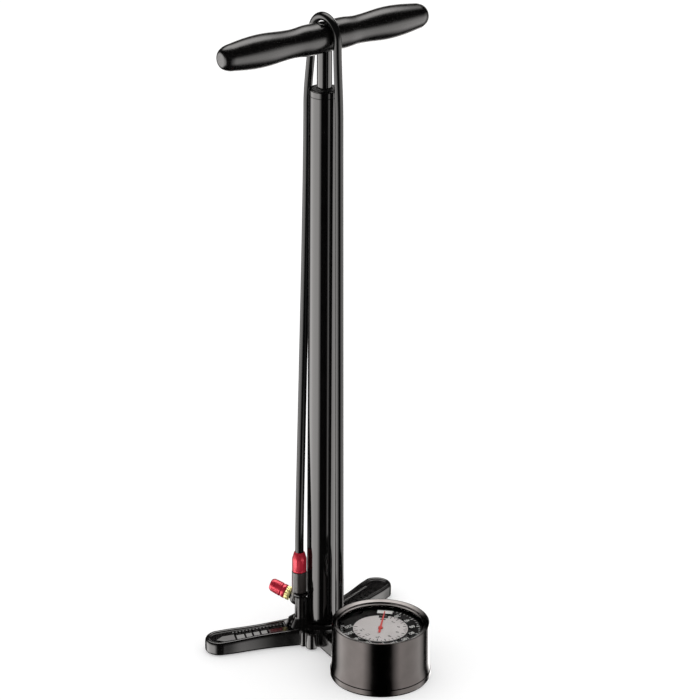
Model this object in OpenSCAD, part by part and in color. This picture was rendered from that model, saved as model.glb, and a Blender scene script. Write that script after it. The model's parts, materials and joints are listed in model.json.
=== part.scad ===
// Floor bike pump with a cast base, a dial gauge, a hose looped over the handle
// and a twin-ended chuck parked on a dock post.
// Frame: +Z up, origin on the barrel axis at floor level, handle along X,
// gauge towards -Y. All lengths are in millimetres.

/* [Overall] */
// Height of the top of the looped hose above the floor
pump_h = 640; // [620:1:660]
// How far the rubber pads stand below the casting
pad_drop = 1.0; // [0.8:0.1:1.5]

/* [Barrel and rod] */
// Outside diameter of the barrel tube
barrel_d = 32; // [32:0.1:32.4]
// Wall thickness of the barrel tube
barrel_wall = 1.8; // [1.6:0.1:2]
// Height of the top face of the barrel cap
barrel_top = 562; // [550:1:566]
// Outside diameter of the piston rod tube
rod_d = 16; // [15.6:0.1:16]
// Height of the handle axis with the piston at the bottom
handle_z = 615; // [613:1:617]

/* [Handle] */
// Overall length of the handle
handle_len = 262; // [240:1:280]
// Radius of the handle at its middle
handle_r = 15.7; // [15.5:0.1:16]
// Width of the hose notch across the top of the handle
notch_w = 21.2; // [19:0.1:24]
// Depth of the hose notch below the top of the handle
notch_depth = 3.1; // [3:0.1:3.3]

/* [Base] */
// Angle of each leg behind the handle line
leg_sweep = 21; // [18:1:24]
// Distance from the barrel axis to the centre of a leg's round end
leg_reach = 108; // [100:1:116]
// Radius of a leg's round end
leg_end_r = 15.3; // [14.5:0.1:16]
// Height of a leg's top face at its root
leg_root_h = 17; // [16:0.5:18]
// Height of a leg's top face at its tip
leg_tip_h = 12.7; // [12:0.1:14]
// Height of the top of the barrel socket
socket_h = 20.3; // [19:0.1:22]

/* [Gauge] */
// Distance from the barrel axis to the gauge centre
gauge_reach = 97; // [97:0.5:100]
// Outside diameter of the gauge at its rim
gauge_d = 98; // [96:0.5:98]
// Height of the gauge rim above the floor
gauge_h = 52; // [51:0.5:54]
// Height of the dial face above the floor
dial_z = 44.6; // [44.4:0.1:44.8]
// Inner diameter of the bezel
bezel_bore = 84.5; // [82:0.5:88]

/* [Hose and chuck] */
// Outside diameter of the hose
hose_d = 8.8; // [8.4:0.1:8.8]
// Bore diameter of the hose
hose_bore = 4.5; // [4.5:0.1:4.8]
// Distance of the parked chuck from the barrel axis
dock_reach = 24.63; // [24.6:0.01:24.8]
// Diameter of the chuck body
chuck_d = 15.4; // [15:0.1:15.6]
// Height of the lower face of the parked chuck body
chuck_z = 49.7; // [49.7:0.1:50]
// Tilt of the side head above level
side_tilt = 17.5; // [15:0.5:20]
// Compass angle of the side head, counted from +X towards +Y
side_turn = 121.3; // [119:0.1:123]
// Radius of the valve opening in the side head
valve_r = 4; // [3.9:0.05:4.1]

/* [Gauge gears] */
// Gear module of the sector and pinion
gear_m = 0.6; // [0.6:0.01:0.61]
// Teeth on the pinion
pinion_teeth = 15; // [15:1:15]
// Teeth the sector would have as a full wheel
sector_teeth = 75; // [75:1:75]

/* [Hidden] */
$fn = 64;

seat_gap = 0.03;    // radial gap of parts that are fixed together
run_gap = 0.05;     // radial gap of parts that slide or turn
face_gap = 0.05;    // gap between stacked faces

barrel_r = barrel_d / 2;
bore_r = barrel_r - barrel_wall;
rod_r = rod_d / 2;
rod_bore_r = rod_r - 1.5;
barrel_foot = 8;
cap_flange_z = barrel_top - 6.7;
bush_z = barrel_top - 24;
bush_r = 11;
wiper_z = barrel_top - 2;
wiper_r = 12.5;

piston_z = 24;
piston_h = 16;
hub_pad_r = 12;
piston_top = piston_z + piston_h;
groove_z = piston_z + 5;
groove_h = 5;
groove_r = 11.5;
spigot_h = 20;
bumper_h = 6;
screw_r = 3;

handle_top = handle_z + handle_r;
notch_z = handle_top - notch_depth;
rod_top = handle_z - 3;
insert_h = 24;
bolt_len = 37;
bolt_head_r = 7.4;
washer_t = 0.5;

valve_seat_top = 14;
valve_seat_z = 8;
ball_r = 2.5;
ball_z = 9.6;
chamber_r = 3.2;
chamber_z = 2;
spring_wire = 0.5;
spring_r = 2;
spring_turns = 4;
fitting_y = -29;
fitting_z = 16.3;
passage_z = 4.6;
passage_r = 1.2;

gauge_y = -gauge_reach;
gauge_r = gauge_d / 2;
plate_r = 44;
plate_top = 6.4;
case_z = 6.5;
case_foot_r = gauge_r + 0.9;
bezel_z = gauge_h - 3.5;
bezel_bore_r = bezel_bore / 2;
rim_wall = 0.7;
bezel_r = gauge_r - rim_wall - seat_gap;
cone_r = bezel_bore_r + 1.8;
cone_drop = 1.1;
lip_t = 0.5;
lens_z = bezel_z - 1.6;
lens_r = gauge_r - 2.1;
ledge_r = gauge_r - 4;
socket_y = 38;
stem_r = 3;
lower_plate_z = 29.5;
upper_plate_z = 37.5;
movement_t = 1.5;
plate_reach = 35.3;
arbor_r = 1;
gear_z = 33;
gear_t = 2;
pitch_pinion = gear_m * pinion_teeth / 2;
pitch_sector = gear_m * sector_teeth / 2;
gear_gap = pitch_pinion + pitch_sector;
tube_r = 37;
tube_z = 20;
tube_sweep = 210;
tube_start = 90;
tip_angle = tube_start + tube_sweep;
needle_z = dial_z + 0.9;
zero_angle = 45;
tail_r = 5.5;
tail_angle = 243;
pin_r = 0.8;

hose_r = hose_d / 2;
hose_foot_z = 24;
arch_r = 21.7;
arch_z = pump_h - hose_r - arch_r;
knee = [0, -25.2, 535];
back_y = 28.8;
back_z = 540;
leg_dir = [-cos(leg_sweep), sin(leg_sweep)];
boss_at = [24.2, -14.7];
boss_r = 6;
bead_at = [29.2, -6.6];
bead_r = 2.6;
boss_h = 15.3;
dock = dock_reach * leg_dir;
chuck_r = chuck_d / 2;
body_top = chuck_z + 20.6;
ferrule_h = 19.65;
hose_end_z = body_top + 2.7;
pin_z = chuck_z + 8;
dock_pin_r = 2.5;
post = dock + [-1.2, -3.8];
post_r = 5.7;
web_t = 5;
flange_r = 7.5;
flange_t = 2;
knuckle = [dock[0] + 2.7, dock[1] + 8.55, 39.4];
knuckle_r = 7.2;
knuckle_top = [dock[0] + 0.2, dock[1] + 0.7, 62];
collar_t = 6.4;
collar_len = 5.6;
cap_t = collar_t + collar_len;
cap_len = 17.8;
collar_r = 6.5;
cap_r = 6.7;
spigot_r = 4;
gasket_r = 4.7;
gasket_h = 4;

// Cosine step from a to b as u runs from 0 to 1
function ease(a, b, u) = a + (b - a) * (1 - cos(180 * u)) / 2;

// Point on a cubic curve through a and d with handles b and c
function curve(a, b, c, d, u) =
    (1-u)*(1-u)*(1-u)*a + 3*(1-u)*(1-u)*u*b + 3*(1-u)*u*u*c + u*u*u*d;

// Involute function in degrees, of a pressure angle in degrees
function inv(a) = tan(a) * 180 / PI - a;

// Half angle of a gear tooth at radius r, for n teeth thinned to the share k
function tooth_half(n, r, k) =
    let (rp = gear_m * n / 2, rb = rp * cos(20))
    90 / n * k + inv(20) - (r > rb ? inv(acos(rb / r)) : 0);

// Outline of one tooth centred on angle a, from root to tip and back
function tooth(n, a, k) =
    let (rp = gear_m * n / 2, rt = rp + 0.8 * gear_m, rd = rp - 1.1 * gear_m,
         radii = [rd, for (i = [0:3]) max(rd, rp * cos(20)) + 0.02
                      + (rt - max(rd, rp * cos(20)) - 0.02) * i / 3])
    concat([for (r = radii) let (h = tooth_half(n, r, k)) r * [cos(a - h), sin(a - h)]],
           [for (i = [4:-1:0]) let (r = radii[i], h = tooth_half(n, r, k))
                r * [cos(a + h), sin(a + h)]]);

// A ring of n points of radius r round each point of a line that is never parallel to ref
function rings_along(line, r, n, ref) = [for (i = [0:len(line) - 1])
    let (a = line[max(i - 1, 0)], b = line[min(i + 1, len(line) - 1)],
         t = (b - a) / norm(b - a), u = cross(ref, t) / norm(cross(ref, t)), v = cross(t, u))
    for (k = [0:n - 1]) line[i] + r * (u * cos(360 * k / n) + v * sin(360 * k / n))];

// Flat pill between two points
module pill(p, q, r, h) {
    d = q - p;
    for (e = [p, q]) translate([e[0], e[1], 0]) cylinder(r = r, h = h);
    translate([p[0], p[1], 0]) rotate([0, 0, atan2(d[1], d[0])])
        translate([0, -r, 0]) cube([norm(d), 2 * r, h]);
}

// Ring of rectangular section
module ring(r_out, r_in, z, h) {
    translate([0, 0, z]) difference() {
        cylinder(r = r_out, h = h);
        translate([0, 0, -1]) cylinder(r = r_in, h = h + 2);
    }
}

// Everything about the gauge axis
module at_gauge() { translate([0, gauge_y, 0]) children(); }

// Everything about the side head axis, +Z pointing out of the valve opening
module at_side() {
    translate(knuckle) rotate([0, 90 - side_tilt, side_turn]) children();
}

/* ---- base ---- */

// One leg, running along +X before it is turned into place
module leg() {
    tip = leg_reach + leg_end_r;
    fall = (leg_root_h - leg_tip_h) / (tip - 25);
    difference() {
        intersection() {
            union() {
                translate([leg_reach, 0, 0]) cylinder(r = leg_end_r, h = 30);
                linear_extrude(height = 30) polygon([
                    [0, -15.5], [62, -13.9], [leg_reach - 3, -15], [leg_reach - 3, 15],
                    [62, 13.9], [0, 15.5]]);
            }
            translate([0, 30, 0]) rotate([90, 0, 0]) linear_extrude(height = 60) polygon([
                [0, pad_drop], [tip + 1, pad_drop], [tip + 1, leg_tip_h],
                [25, leg_root_h], [0, leg_root_h]]);
        }
        intersection() {
            pill([50, 0], [leg_reach, 0], 11.6, 30);
            translate([0, 30, 0]) rotate([90, 0, 0]) linear_extrude(height = 60) polygon([
                [30, leg_root_h - 0.7 - fall * 5], [tip, leg_tip_h - 0.7],
                [tip, 25], [30, 25]]);
        }
        translate([leg_reach - 7, 0, pad_drop - 1]) cylinder(r = 10 + seat_gap, h = 3);
    }
}

// Post with a round seat and a locating pin, where the chuck is parked
module dock_post() {
    foot = leg_root_h - 3;
    translate([post[0], post[1], foot]) cylinder(r = post_r, h = chuck_z - foot - 1);
    translate([post[0], post[1], foot]) cylinder(r1 = 12, r2 = post_r, h = 12);
    rotate([0, 0, atan2(post[1], post[0])])
        translate([barrel_r + 0.3, -web_t / 2, foot]) cube([norm(post) - barrel_r, web_t, 29]);
    translate([post[0], post[1], chuck_z - face_gap - flange_t])
        cylinder(r = flange_r, h = flange_t);
    translate([dock[0], dock[1], chuck_z - 3]) cylinder(r = dock_pin_r, h = 9.5);
    translate([dock[0], dock[1], foot]) rotate([0, 0, atan2(leg_dir[1], leg_dir[0])])
        rotate([90, 0, 0]) translate([0, 0, -1.2]) linear_extrude(height = 2.4)
            polygon([[0, 0], [15, 0], [11, 11], [0, 15]]);
}

// Round bosses in the corners between the legs and the gauge arm; the small one grows out of
// the leg's side, the large one out of the hub, and a web ties them together
module corner_bosses() {
    for (s = [-1, 1]) {
        translate([s * boss_at[0], boss_at[1], pad_drop]) cylinder(r = boss_r, h = boss_h);
        translate([s * bead_at[0], bead_at[1], pad_drop]) cylinder(r = bead_r, h = boss_h);
        translate([0, 0, pad_drop]) linear_extrude(height = boss_h) polygon([
            [s * 15, boss_at[1] + 4], [s * boss_at[0], boss_at[1]],
            [s * bead_at[0], bead_at[1]], [s * 20, 0]]);
    }
}

module base_casting() color([0.05, 0.05, 0.05]) difference() {
    union() {
        for (s = [-1, 1]) rotate([0, 0, 90 + s * (90 - leg_sweep)]) leg();
        rotate_extrude() polygon([
            [0, pad_drop], [24, pad_drop], [24, leg_root_h - 1], [20.6, socket_h],
            [0, socket_h]]);
        linear_extrude(height = 16.3) polygon([
            [-18, 0], [-18, -18], [-23.5, -60], [23.5, -60], [18, -18], [18, 0]]);
        corner_bosses();
        at_gauge() translate([0, 0, pad_drop])
            cylinder(r = plate_r, h = plate_top - pad_drop);
        dock_post();
    }
    // underside
    translate([-60, -60, -1]) cube([120, 120, pad_drop + 1]);
    // room for the gauge case and its foot ring
    at_gauge() translate([0, 0, case_z - 0.1]) cylinder(r = case_foot_r + run_gap, h = 40);
    at_gauge() difference() {
        ring(case_foot_r + 0.6, plate_r, -1, 9);
        translate([-18, 0, 3]) cube([36, 60, 10]);
    }
    // barrel socket and the room beside the barrel above it
    translate([0, 0, barrel_foot]) cylinder(r = barrel_r + seat_gap, h = 60);
    translate([0, 0, socket_h]) cylinder(r = barrel_r + 0.6, h = 60);
    // check valve chamber and air passage
    translate([0, 0, chamber_z]) cylinder(r = chamber_r, h = 12);
    translate([0, 0, passage_z]) rotate([90, 0, 0])
        cylinder(r = passage_r, h = gauge_reach - socket_y);
    // hose fitting thread and gauge stem
    translate([0, fitting_y, passage_z]) cylinder(r = 4 + seat_gap, h = 20);
    translate([0, fitting_y, fitting_z]) cylinder(r = 7.5, h = 20);
    at_gauge() translate([0, socket_y, 3]) cylinder(r = stem_r + seat_gap, h = 9);
    // gauge screws
    at_gauge() for (a = [30, 150, 270]) rotate([0, 0, a]) translate([30, 0, -1]) {
        cylinder(r = 1.6 + seat_gap, h = 10);
        cylinder(r = 3.2, h = 4.2);
    }
}

// Pads under both leg ends and one under the hub
module leg_pads() color([0.12, 0.12, 0.12]) {
    for (s = [-1, 1]) rotate([0, 0, 90 + s * (90 - leg_sweep)])
        translate([leg_reach - 7, 0, 0]) rotate_extrude() polygon([
            [0, 0], [9.2, 0], [10, 0.8], [10, pad_drop + 1.95], [0, pad_drop + 1.95]]);
    cylinder(r = hub_pad_r, h = pad_drop - face_gap);
}

module gauge_foot_ring() color([0.1, 0.1, 0.1]) at_gauge() difference() {
    rotate_extrude() polygon([
        [plate_r + seat_gap, 0], [case_foot_r - 0.6, 0], [case_foot_r + 0.2, 0.6],
        [case_foot_r + 0.5, 1.6], [case_foot_r + 0.5, 5.6], [case_foot_r, 6.3],
        [plate_r + seat_gap, 6.3]]);
    translate([-18 - seat_gap, 0, 3 - face_gap]) cube([36 + 2 * seat_gap, 60, 10]);
}

/* ---- barrel, rod guide and check valve ---- */

module barrel() color([0.06, 0.06, 0.06])
    ring(barrel_r, bore_r, barrel_foot + 1.5, cap_flange_z - barrel_foot - 1.55);

module barrel_cap() color([0.06, 0.06, 0.06]) difference() {
    union() {
        translate([0, 0, bush_z]) cylinder(r = bore_r - seat_gap, h = barrel_top - bush_z - 1);
        rotate_extrude() polygon([
            [0, cap_flange_z], [barrel_r - 0.5, cap_flange_z], [barrel_r, cap_flange_z + 0.5],
            [barrel_r, barrel_top - 1.2], [barrel_r - 1.2, barrel_top], [0, barrel_top]]);
    }
    translate([0, 0, bush_z - 1]) cylinder(r = bush_r + seat_gap, h = 60);
    translate([0, 0, wiper_z]) cylinder(r = wiper_r + seat_gap, h = 10);
}

module rod_guide_bush() color([0.85, 0.83, 0.78])
    ring(bush_r, rod_r + run_gap, bush_z, wiper_z - bush_z - face_gap);

module rod_wiper() color([0.05, 0.05, 0.05]) difference() {
    rotate_extrude() polygon([
        [0, wiper_z], [wiper_r, wiper_z], [wiper_r, barrel_top - 0.2],
        [wiper_r - 0.8, barrel_top + 0.3], [rod_r + 1.2, barrel_top + 0.3],
        [rod_r, barrel_top + 1.1], [0, barrel_top + 1.1]]);
    translate([0, 0, wiper_z - 1]) cylinder(r = rod_r + run_gap, h = 10);
}

module barrel_seal() color([0.1, 0.1, 0.1])
    ring(barrel_r - 0.1, bore_r + 0.1, barrel_foot, 1.5 - face_gap);

module check_valve_seat() color([0.8, 0.65, 0.3]) difference() {
    throat_r = 1.5;
    translate([0, 0, valve_seat_z]) cylinder(r = 8, h = valve_seat_top - valve_seat_z);
    translate([0, 0, valve_seat_z - 1]) cylinder(r = chamber_r, h = 3);
    translate([0, 0, valve_seat_z + 2])
        cylinder(r1 = chamber_r, r2 = throat_r, h = chamber_r - throat_r);
    translate([0, 0, valve_seat_z]) cylinder(r = throat_r, h = 12);
}

module check_valve_ball() color([0.75, 0.76, 0.78])
    translate([0, 0, ball_z]) sphere(r = ball_r);

module check_valve_spring() color([0.7, 0.7, 0.72]) {
    n = 8;
    steps = 16 * spring_turns;
    foot = chamber_z + face_gap + spring_wire / 2;
    rise = ball_z - ball_r - face_gap - spring_wire / 2 - foot;
    line = [for (i = [0:steps]) let (a = 360 * spring_turns * i / steps)
        [spring_r * cos(a), spring_r * sin(a), foot + rise * i / steps]];
    walls = [for (i = [0:steps - 1], k = [0:n - 1])
        let (a = i * n + k, b = i * n + (k + 1) % n) [a, a + n, b + n, b]];
    polyhedron(points = rings_along(line, spring_wire / 2, n, [0, 0, 1]), faces = concat(walls,
        [[for (k = [0:n - 1]) k]], [[for (k = [n - 1:-1:0]) steps * n + k]]), convexity = 8);
}

/* ---- hose ---- */

module hose_fitting() color([0.7, 0.55, 0.3]) translate([0, fitting_y, 0]) difference() {
    union() {
        translate([0, 0, passage_z + 1.2]) cylinder(r = 4, h = fitting_z - passage_z);
        translate([0, 0, fitting_z + face_gap]) cylinder(r = 7, h = 2.6, $fn = 6);
        translate([0, 0, fitting_z + 2]) cylinder(r = 5, h = 3.5);
        translate([0, 0, fitting_z + 4]) cylinder(r = hose_bore / 2 - 0.15, h = 20);
    }
    cylinder(r = 1.2, h = 60);
}

// Centre line of the hose: up in front of the barrel, over the handle, down to the chuck
function hose_line() =
    let (foot = [0, fitting_y, hose_foot_z], front = [0, -arch_r, arch_z],
         rear = [0, arch_r, arch_z], back = [0, back_y, back_z],
         end = [dock[0], dock[1], hose_end_z + 26])
    concat(
        [for (i = [0:5]) foot + (knee - foot) * i / 6],
        [for (i = [0:5]) curve(knee, knee + [0, 0.2, 26], front - [0, 0, 26], front, i / 6)],
        [for (i = [0:15]) [0, -arch_r * cos(180 * i / 16), arch_z + arch_r * sin(180 * i / 16)]],
        [for (i = [0:6]) curve(rear, rear - [0, 0, 24], back + [0, 0, 24], back, i / 7)],
        [for (i = [0:11]) curve(back, back - [0, 0, 140], end + [0, 0, 60], end, i / 12)],
        [end, [dock[0], dock[1], hose_end_z]]);

module air_hose() color([0.07, 0.07, 0.07]) {
    n = 16;
    line = hose_line();
    m = len(line);
    outer = rings_along(line, hose_r, n, [1, 0, 0]);
    inner = rings_along(line, hose_bore / 2, n, [1, 0, 0]);
    walls = [for (i = [0:m - 2], k = [0:n - 1], s = [0, 1])
        let (o = s * m * n, a = o + i * n + k, b = o + i * n + (k + 1) % n)
        s == 0 ? [a, a + n, b + n, b] : [a, b, b + n, a + n]];
    ends = [for (k = [0:n - 1], e = [0, 1])
        let (o = e * (m - 1) * n, a = o + k, b = o + (k + 1) % n, q = m * n)
        e == 0 ? [a, b, b + q, a + q] : [a, a + q, b + q, b]];
    polyhedron(points = concat(outer, inner), faces = concat(walls, ends), convexity = 6);
}

/* ---- gauge ---- */

module gauge_case() color([0.3, 0.27, 0.24]) at_gauge() difference() {
    rotate_extrude() polygon([
        [0, case_z], [case_foot_r, case_z], [gauge_r, bezel_z], [gauge_r, gauge_h],
        [gauge_r - rim_wall, gauge_h], [gauge_r - rim_wall, bezel_z], [lens_r + 0.1, bezel_z],
        [lens_r + 0.1, lens_z], [ledge_r, lens_z], [ledge_r, dial_z - 2],
        [ledge_r + 1, dial_z - 3], [ledge_r + 1.6, case_z + 2], [0, case_z + 2]]);
    translate([0, socket_y, 0]) cylinder(r = stem_r + seat_gap, h = 20);
    for (a = [30, 150, 270]) rotate([0, 0, a]) translate([30, 0, 0])
        cylinder(r = 1.5 + seat_gap, h = 20);
}

module gauge_screws() color([0.7, 0.7, 0.7]) at_gauge()
    for (a = [30, 150, 270]) rotate([0, 0, a]) translate([30, 0, 0]) {
        translate([0, 0, 1.4]) difference() {
            cylinder(r = 3, h = 1.75);
            translate([-3.5, -0.4, -1]) cube([7, 0.8, 1.7]);
        }
        translate([0, 0, 3]) cylinder(r = 1.5, h = 5.4);
    }

// Polished ring inside the case's rim: a shallow cone, a step and a flat lip over the lens
module gauge_bezel() color([0.75, 0.74, 0.72]) at_gauge() rotate_extrude() polygon([
    [bezel_bore_r, bezel_z + face_gap], [bezel_r, bezel_z + face_gap],
    [bezel_r, gauge_h - 0.3], [bezel_r - 0.3, gauge_h], [cone_r, gauge_h - cone_drop],
    [cone_r - 0.4, bezel_z + lip_t + 0.3], [bezel_bore_r, bezel_z + lip_t]]);

module gauge_lens() color([0.9, 0.92, 0.94, 0.3]) at_gauge()
    translate([0, 0, lens_z + face_gap]) cylinder(r = lens_r, h = 1.5);

module dial_plate() color([0.06, 0.06, 0.06]) at_gauge()
    ring(ledge_r - 0.2, 2.4, dial_z - 1, 1);

module dial_centre() color([0.72, 0.72, 0.72]) at_gauge()
    ring(27.5, 2.4, dial_z, 0.4);

module gauge_socket() color([0.8, 0.65, 0.3]) at_gauge() {
    translate([0, socket_y, 3]) cylinder(r = stem_r, h = 8);
    difference() {
        translate([-7, socket_y - 7, case_z + 2.05])
            cube([14, 12, lower_plate_z - case_z - 2.1]);
        rotate([0, 0, 60]) rotate_extrude(angle = 60)
            translate([tube_r, tube_z]) bourdon_section(0.05);
    }
}

module bourdon_section(grow) {
    square([2.4 + 2 * grow, 8], center = true);
    for (s = [-4, 4]) translate([0, s]) circle(r = 1.2 + grow, $fn = 32);
}

module bourdon_tube() color([0.75, 0.6, 0.3]) at_gauge() {
    rotate([0, 0, tube_start]) rotate_extrude(angle = tube_sweep)
        translate([tube_r, tube_z]) bourdon_section(0);
    rotate([0, 0, tip_angle]) translate([tube_r, 0, tube_z - 5.2])
        cylinder(r = 2, h = gear_z - tube_z + 6.8);
}

module movement_lower_plate() color([0.8, 0.65, 0.3]) at_gauge() difference() {
    translate([0, 0, lower_plate_z]) pill([0, -plate_reach], [0, 36], 9, movement_t);
    for (y = [0, -gear_gap]) translate([0, y, 0]) cylinder(r = arbor_r + run_gap, h = 60);
}

module pillar_places() { for (p = [[-6.5, 14], [6.5, 14], [0, -38]]) translate(p) children(); }

module movement_pillars() color([0.8, 0.65, 0.3]) at_gauge() pillar_places()
    translate([0, 0, lower_plate_z + movement_t])
        cylinder(r = 1.8, h = upper_plate_z - lower_plate_z - movement_t - 0.02);

module movement_upper_plate() color([0.8, 0.65, 0.3]) at_gauge() difference() {
    union() {
        translate([0, 0, upper_plate_z]) pill([0, -plate_reach], [0, 15], 9, movement_t);
        pillar_places() translate([0, 0, upper_plate_z])
            cylinder(r = 1.8, h = dial_z - 1.02 - upper_plate_z);
    }
    for (y = [0, -gear_gap]) translate([0, y, 0]) cylinder(r = arbor_r + run_gap, h = 60);
}

module sector_gear() color([0.85, 0.7, 0.35]) at_gauge() translate([0, -gear_gap, 0]) {
    tail = tail_r * [cos(tail_angle), sin(tail_angle)];
    step = 360 / sector_teeth;
    root = pitch_sector - 1.5 * gear_m;
    difference() {
        translate([0, 0, gear_z]) linear_extrude(height = gear_t) polygon(concat(
            [[0, 0]], [for (k = [-13:2]) each tooth(sector_teeth, 90 + k * step, 0.86)]));
        translate([0, 0, gear_z - 1]) linear_extrude(height = gear_t + 2) polygon(concat(
            [7 * [cos(63), sin(63)]],
            [for (k = [-11:0]) (root - 3) * [cos(90 + k * step), sin(90 + k * step)]]));
    }
    translate([0, 0, gear_z]) pill([0, 0], tail, 1.6, gear_t);
    translate([tail[0], tail[1], gear_z]) cylinder(r = pin_r, h = gear_t + 1.3);
    translate([0, 0, lower_plate_z + movement_t + 0.2])
        cylinder(r = 2.6, h = upper_plate_z - lower_plate_z - movement_t - 0.4);
    translate([0, 0, lower_plate_z - 0.6])
        cylinder(r = arbor_r, h = upper_plate_z - lower_plate_z + movement_t + 1.2);
}

module bourdon_link() color([0.7, 0.7, 0.7]) at_gauge() {
    tail = tail_r * [cos(tail_angle), sin(tail_angle)] + [0, -gear_gap];
    tip = tube_r * [cos(tip_angle), sin(tip_angle)];
    difference() {
        translate([0, 0, gear_z + gear_t + 0.15]) pill(tail, [tip[0], tail[1]], 1.6, 0.8);
        translate([tail[0], tail[1], gear_z]) cylinder(r = pin_r + run_gap, h = 10);
        translate([tip[0], tail[1], gear_z]) cylinder(r = pin_r + run_gap, h = 10);
    }
}

module pinion_arbor() color([0.85, 0.7, 0.35]) at_gauge() {
    step = 360 / pinion_teeth;
    translate([0, 0, gear_z - 0.4]) linear_extrude(height = gear_t + 0.8) polygon(
        [for (k = [0:pinion_teeth - 1]) each tooth(pinion_teeth, 270 + (k + 0.5) * step, 0.86)]);
    translate([0, 0, lower_plate_z - 0.6]) cylinder(r = arbor_r, h = needle_z - lower_plate_z + 1);
}

module hairspring() color([0.6, 0.6, 0.65]) at_gauge() {
    turns = 3;
    points = 24 * turns;
    translate([0, 0, gear_z + gear_t + 1.3]) linear_extrude(height = 0.7) polygon(concat(
        [for (i = [0:points]) (2 + 4 * i / points) * [cos(15 * i), sin(15 * i)]],
        [for (i = [points:-1:0]) (2.25 + 4 * i / points) * [cos(15 * i), sin(15 * i)]]));
}

module gauge_needle() color([0.75, 0.1, 0.08]) at_gauge() rotate([0, 0, zero_angle]) difference() {
    union() {
        translate([0, 0, needle_z]) linear_extrude(height = 0.5) polygon([
            [-11, -1.6], [-9, -1.9], [0, -1.5], [33, -0.35], [34, 0], [33, 0.35],
            [0, 1.5], [-9, 1.9], [-11, 1.6]]);
        translate([0, 0, needle_z - 0.3]) cylinder(r = 3.4, h = 1.45);
    }
    translate([0, 0, needle_z - 1]) cylinder(r = arbor_r + 0.02, h = 1.45);
}

/* ---- plunger ---- */

module piston_rod() color([0.06, 0.06, 0.06])
    ring(rod_r, rod_bore_r, piston_top, rod_top - piston_top);

module rod_top_insert() color([0.7, 0.7, 0.7])
    ring(rod_bore_r - seat_gap, screw_r + seat_gap, rod_top - insert_h, insert_h);

module piston_head() color([0.85, 0.85, 0.82]) difference() {
    union() {
        translate([0, 0, piston_z]) cylinder(r = bore_r - 0.2, h = piston_h - face_gap);
        translate([0, 0, piston_z]) cylinder(r = rod_bore_r - seat_gap, h = piston_h + spigot_h);
    }
    ring(barrel_r, groove_r, groove_z, groove_h);
    translate([0, 0, piston_z - 1]) cylinder(r = screw_r + seat_gap, h = 26);
    for (a = [0:90:270]) rotate([0, 0, a]) translate([9, 0, piston_z - 1])
        cylinder(r = 1, h = 4);
}

module piston_seal() color([0.1, 0.1, 0.1])
    ring(bore_r - run_gap, groove_r + seat_gap, groove_z + 0.1, groove_h - 0.2);

module piston_screw() color([0.7, 0.7, 0.7]) {
    translate([0, 0, piston_z - 3]) cylinder(r = 5.5, h = 3 - face_gap, $fn = 6);
    translate([0, 0, piston_z - 1]) cylinder(r = screw_r, h = 24);
}

module stroke_bumper() color([0.1, 0.1, 0.1])
    ring(12.5, rod_r + seat_gap, piston_top, bumper_h);

// Half outline of the handle: radius at distance x from its middle
handle_ref = 262;
handle_keys = [[0, 1], [22, 1], [41, 0.92], [81, 1.06]];
taper_end = [121, 0.83];
end_face_r = 5.5;
function handle_radius(x) =
    let (s = x * handle_ref / handle_len, grip = handle_keys[3])
    s > grip[0]
        ? let (u = (s - grip[0]) / (taper_end[0] - grip[0]))
            handle_r * (grip[1] - (grip[1] - taper_end[1]) * (1 - cos(90 * u)))
        : let (k = [for (i = [0:2]) if (s >= handle_keys[i][0] && s <= handle_keys[i + 1][0]) i][0],
               a = handle_keys[k], b = handle_keys[k + 1])
            handle_r * ease(a[1], b[1], (s - a[0]) / (b[0] - a[0]));

// Flat-floored notch across the top of the handle, under the looped hose
module hose_notch() {
    translate([-notch_w / 2, -30, notch_z]) cube([notch_w, 60, 30]);
}

module handle() color([0.1, 0.1, 0.1]) difference() {
    half = handle_len / 2;
    shoulder = half * taper_end[0] / (handle_ref / 2);
    end_r = handle_radius(shoulder);
    side = [for (i = [0:36]) let (x = shoulder * i / 36) [handle_radius(x), x]];
    round_end = [for (i = [1:8]) curve(
        [end_r, shoulder], [end_r - 1.3, shoulder + 5], [end_r - 3.4, half], [end_face_r, half],
        i / 8)];
    upper = concat(side, round_end, [[0, half]]);
    translate([0, 0, handle_z]) rotate([0, 90, 0]) rotate_extrude() polygon(concat(
        [for (i = [len(upper) - 1:-1:1]) [upper[i][0], -upper[i][1]]], upper));
    hose_notch();
    cylinder(r = rod_r + seat_gap, h = rod_top + face_gap);
    cylinder(r = screw_r + 0.1, h = handle_z + 30);
}

module handle_washer() color([0.5, 0.5, 0.5])
    ring(8, screw_r + 0.1, notch_z + 0.02, washer_t);

module handle_bolt() color([0.08, 0.08, 0.08]) {
    head = notch_z + washer_t + 0.05;
    translate([0, 0, head - bolt_len]) cylinder(r = screw_r, h = bolt_len + 0.6);
    difference() {
        translate([0, 0, head]) rotate_extrude() polygon([
            [0, 0], [bolt_head_r, 0], [bolt_head_r, 0.35], [6, 0.9], [4, 1.5], [2, 1.85],
            [0, 1.95]]);
        translate([0, 0, head + 0.5]) cylinder(r = 2.6, h = 5, $fn = 6);
    }
}

/* ---- chuck ---- */

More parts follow.
